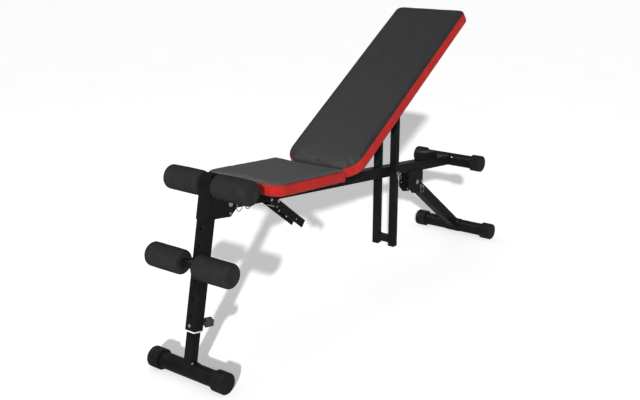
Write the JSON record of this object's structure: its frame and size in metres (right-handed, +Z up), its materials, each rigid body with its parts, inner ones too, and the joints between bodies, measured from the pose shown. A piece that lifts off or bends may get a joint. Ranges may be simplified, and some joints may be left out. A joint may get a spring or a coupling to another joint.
{
  "type": "adjustable weight bench",
  "caption": "Folding adjustable weight bench with a padded seat and reclining padded backrest, foam leg rollers, a square-tube frame and round capped feet.",
  "frame": {"origin": "on the floor, midway between the front and rear feet and on the bench's middle plane", "axes": "+X to the bench's right side seen from its front, where the pull pins are; +Y from the foot rollers to the rear feet; +Z up"},
  "size_m": [0.35, 1.642, 0.954],
  "materials": {
    "frame_black": "glossy black powder coat",
    "plate_black": "glossy black powder coat",
    "cap_black": "moulded, matt",
    "knob_black": "moulded, matt",
    "bush_grey": "moulded, matt",
    "zinc": "zinc plated",
    "ring_wire": "bright",
    "foam": "matt closed-cell foam",
    "cushion": "matt vinyl, charcoal top and red sides",
    "board": "stained black"
  },
  "bodies": {
    "frame": {"main_beam": "frame_black", "beam_plug": "cap_black", "upper_rear_foot": "frame_black", "upper_rear_cap_left": "cap_black", "upper_rear_cap_right": "cap_black", "rear_brackets": "plate_black", "backrest_rest_block": "frame_black", "hinge_plates": "plate_black", "frame_pivot_bolts": "zinc", "frame_pivot_nuts": "zinc", "frame_screws": "zinc"},
    "front_leg": {"front_post": "frame_black", "gussets": "plate_black", "post_bush": "bush_grey", "knob_nut": "frame_black", "front_leg_screws": "zinc", "upper_roller_tube": "frame_black"},
    "inner_leg": {"inner_leg_tube": "frame_black", "front_foot_tube": "frame_black", "front_cap_left": "cap_black", "front_cap_right": "cap_black", "front_foot_screw": "zinc"},
    "leg_knob": {"leg_knob": "knob_black"},
    "carriage": {"roller_sleeve": "frame_black", "lower_roller_tube": "frame_black"},
    "carriage_knob": {"carriage_knob": "knob_black"},
    "upper_left_roller": {"foam_upper_left": "foam"},
    "upper_right_roller": {"foam_upper_right": "foam"},
    "lower_left_roller": {"foam_lower_left": "foam"},
    "lower_right_roller": {"foam_lower_right": "foam"},
    "seat": {"seat_pad": "cushion", "seat_board": "board", "seat_rails": "plate_black", "seat_bolts": "zinc", "strut_pivot_pins": "zinc"},
    "seat_strut": {"seat_strut": "frame_black", "strut_fittings": "zinc"},
    "backrest": {"backrest_pad": "cushion", "backrest_board": "board", "backrest_frame": "frame_black", "backrest_bolts": "zinc", "support_pivot_bolt": "zinc"},
    "support": {"support_bar_left": "frame_black", "support_bar_right": "frame_black", "support_cross_tube": "frame_black"},
    "rear_leg": {"rear_strut": "frame_black", "lower_rear_foot": "frame_black", "lower_rear_cap_left": "cap_black", "lower_rear_cap_right": "cap_black", "lower_foot_screw": "zinc"},
    "front_pin": {"front_pin": "zinc"},
    "front_pin_ring": {"front_pin_ring": "ring_wire"},
    "beam_front_pin": {"beam_front_pin": "zinc"},
    "beam_front_pin_ring": {"beam_front_pin_ring": "ring_wire"},
    "support_pin": {"support_pin": "zinc"},
    "support_pin_ring": {"support_pin_ring": "ring_wire"},
    "rear_pin": {"rear_pin": "zinc"},
    "rear_pin_ring": {"rear_pin_ring": "ring_wire"}
  },
  "joints": [
    {"name": "front_leg_fold", "type": "hinge", "parent": "frame", "child": "front_leg", "pos_m": [0, -0.614, 0.4974], "axis": [1, 0, 0], "range_deg": [0, 74.4]},
    {"name": "front_leg_height", "type": "slide", "parent": "front_leg", "child": "inner_leg", "axis": [0, -0.2215, -0.9751], "range_m": [-0.025, 0.1]},
    {"name": "leg_knob_turn", "type": "hinge", "parent": "front_leg", "child": "leg_knob", "pos_m": [0, -0.72057, 0.15383], "axis": [0, 0.9751, -0.2215], "continuous": true},
    {"name": "carriage_height", "type": "slide", "parent": "front_leg", "child": "carriage", "axis": [0, 0.2215, 0.9751], "range_m": [-0.153, 0.102]},
    {"name": "carriage_knob_turn", "type": "hinge", "parent": "carriage", "child": "carriage_knob", "pos_m": [0, -0.68986, 0.33411], "axis": [0, 0.9751, -0.2215], "continuous": true},
    {"name": "upper_left_roller_turn", "type": "hinge", "parent": "front_leg", "child": "upper_left_roller", "pos_m": [-0.0935, -0.66657, 0.56304], "axis": [1, 0, 0], "continuous": true},
    {"name": "upper_right_roller_turn", "type": "hinge", "parent": "front_leg", "child": "upper_right_roller", "pos_m": [0.0935, -0.66657, 0.56304], "axis": [1, 0, 0], "continuous": true},
    {"name": "lower_left_roller_turn", "type": "hinge", "parent": "carriage", "child": "lower_left_roller", "pos_m": [-0.0935, -0.76007, 0.35006], "axis": [1, 0, 0], "continuous": true},
    {"name": "lower_right_roller_turn", "type": "hinge", "parent": "carriage", "child": "lower_right_roller", "pos_m": [0.0935, -0.76007, 0.35006], "axis": [1, 0, 0], "continuous": true},
    {"name": "seat_tilt", "type": "hinge", "parent": "frame", "child": "seat", "pos_m": [0, -0.214, 0.476], "axis": [1, 0, 0], "range_deg": [-12.5, 0]},
    {"name": "seat_strut_swing", "type": "hinge", "parent": "seat", "child": "seat_strut", "pos_m": [0, -0.4746, 0.4975], "axis": [1, 0, 0], "range_deg": [-27.5, 0]},
    {"name": "backrest_recline", "type": "hinge", "parent": "frame", "child": "backrest", "pos_m": [0, -0.129, 0.47], "axis": [1, 0, 0], "range_deg": [-14, 29]},
    {"name": "support_swing", "type": "hinge", "parent": "backrest", "child": "support", "pos_m": [0, 0.25744, 0.70637], "axis": [1, 0, 0], "range_deg": [-8.7, 4.2]},
    {"name": "rear_leg_fold", "type": "hinge", "parent": "frame", "child": "rear_leg", "pos_m": [0, 0.43, 0.309], "axis": [-1, 0, 0], "range_deg": [0, 85]},
    {"name": "front_pin_pull", "type": "slide", "parent": "front_leg", "child": "front_pin", "axis": [1, 0, 0], "range_m": [0, 0.03]},
    {"name": "front_pin_ring_swing", "type": "hinge", "parent": "front_pin", "child": "front_pin_ring", "pos_m": [0.0318, -0.5835, 0.492], "axis": [0, -1, 0], "range_deg": [0, 85]},
    {"name": "beam_front_pin_pull", "type": "slide", "parent": "frame", "child": "beam_front_pin", "axis": [1, 0, 0], "range_m": [0, 0.03]},
    {"name": "beam_front_pin_ring_swing", "type": "hinge", "parent": "beam_front_pin", "child": "beam_front_pin_ring", "pos_m": [0.0285, -0.542, 0.488], "axis": [0, -1, 0], "range_deg": [0, 85]},
    {"name": "support_pin_pull", "type": "slide", "parent": "support", "child": "support_pin", "axis": [1, 0, 0], "range_m": [0, 0.03]},
    {"name": "support_pin_ring_swing", "type": "hinge", "parent": "support_pin", "child": "support_pin_ring", "pos_m": [0.057, 0.2508, 0.38904], "axis": [0, -1, 0], "range_deg": [0, 85]},
    {"name": "rear_pin_pull", "type": "slide", "parent": "frame", "child": "rear_pin", "axis": [1, 0, 0], "range_m": [0, 0.03]},
    {"name": "rear_pin_ring_swing", "type": "hinge", "parent": "rear_pin", "child": "rear_pin_ring", "pos_m": [0.0318, 0.46007, 0.28576], "axis": [0, -1, 0], "range_deg": [0, 85]}
  ],
  "couplings": [
    {"joint": "seat_strut_swing", "follows": "seat_tilt", "ratio": 2.2},
    {"joint": "support_swing", "follows": "backrest_recline", "ratio": -0.3}
  ]
}
